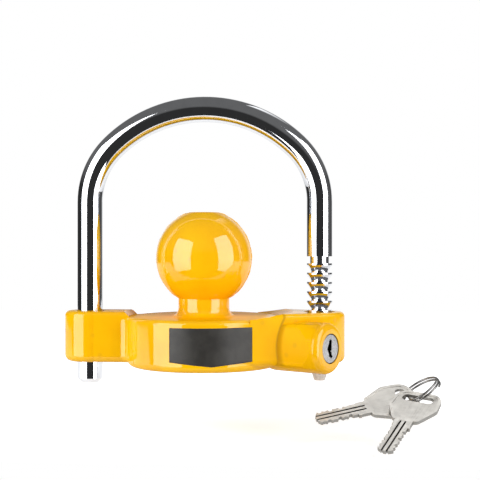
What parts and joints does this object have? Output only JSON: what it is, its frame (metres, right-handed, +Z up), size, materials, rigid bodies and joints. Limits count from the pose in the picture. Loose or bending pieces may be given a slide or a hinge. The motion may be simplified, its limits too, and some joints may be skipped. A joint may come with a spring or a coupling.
{
  "type": "trailer coupler lock",
  "caption": "Coupler lock: cast body whose ball fills a trailer coupler's socket, a U-shaped ratchet shackle that passes over the coupler, a key cylinder at one end, and keys on a ring.",
  "frame": {"origin": "centre of the ball", "axes": "+Z up along the ball's neck, toward the shackle's crown; +X toward the lock end; -Y to the front"},
  "size_m": [0.1844, 0.1053, 0.1643],
  "materials": {
    "coat": "thick glossy yellow coat over cast metal",
    "chrome": "bright chrome plate",
    "zinc": "die-cast zinc, satin",
    "rubber": "black, matte",
    "steel": "plain steel",
    "brass": "stamped brass",
    "nickel": "satin nickel plate"
  },
  "bodies": {
    "base": {"body_casting": "coat", "cylinder_sleeve": "zinc", "cylinder_seal": "rubber", "cylinder_pin": "steel", "cam_clip": "steel", "pawl_bore_plug": "coat", "pawl_spring": "steel"},
    "shackle": {"shackle": "chrome"},
    "plug": {"lock_plug": "zinc", "wafer_1": "brass", "wafer_2": "brass", "wafer_3": "brass", "wafer_4": "brass", "wafer_5": "brass", "wafer_6": "brass", "wafer_springs": "steel", "plug_cam": "steel", "cam_pin": "steel"},
    "pawl": {"locking_pawl": "steel"},
    "key_ring": {"key_ring": "nickel"},
    "key_1": {"key_1": "nickel"},
    "key_2": {"key_2": "nickel"}
  },
  "joints": [
    {"name": "shackle_slide", "type": "slide", "parent": "base", "child": "shackle", "axis": [0, 0, 1], "range_m": [-0.023, 0.045]},
    {"name": "plug_turn", "type": "hinge", "parent": "base", "child": "plug", "pos_m": [0.063, -0.0255, -0.0424], "axis": [-0.8387, 0.5446, 0], "range_deg": [0, 90]},
    {"name": "pawl_slide", "type": "slide", "parent": "base", "child": "pawl", "axis": [0.9272, 0.3746, 0], "range_m": [0, 0.0029]},
    {"name": "key_ring_slide", "type": "slide", "parent": "base", "child": "key_ring", "axis": [1, 0, 0], "range_m": [0, 0.06]},
    {"name": "key_1_swing", "type": "hinge", "parent": "key_ring", "child": "key_1", "pos_m": [0.09823, -0.02431, -0.06732], "axis": [0.0208, -0.511, 0.8593], "range_deg": [-8, 12]},
    {"name": "key_2_swing", "type": "hinge", "parent": "key_ring", "child": "key_2", "pos_m": [0.10212, -0.02899, -0.06574], "axis": [-0.0629, -0.3964, 0.9159], "range_deg": [-6, 14]}
  ],
  "couplings": [
    {"joint": "pawl_slide", "follows": "plug_turn", "m_per_rad": 0.0018462}
  ]
}
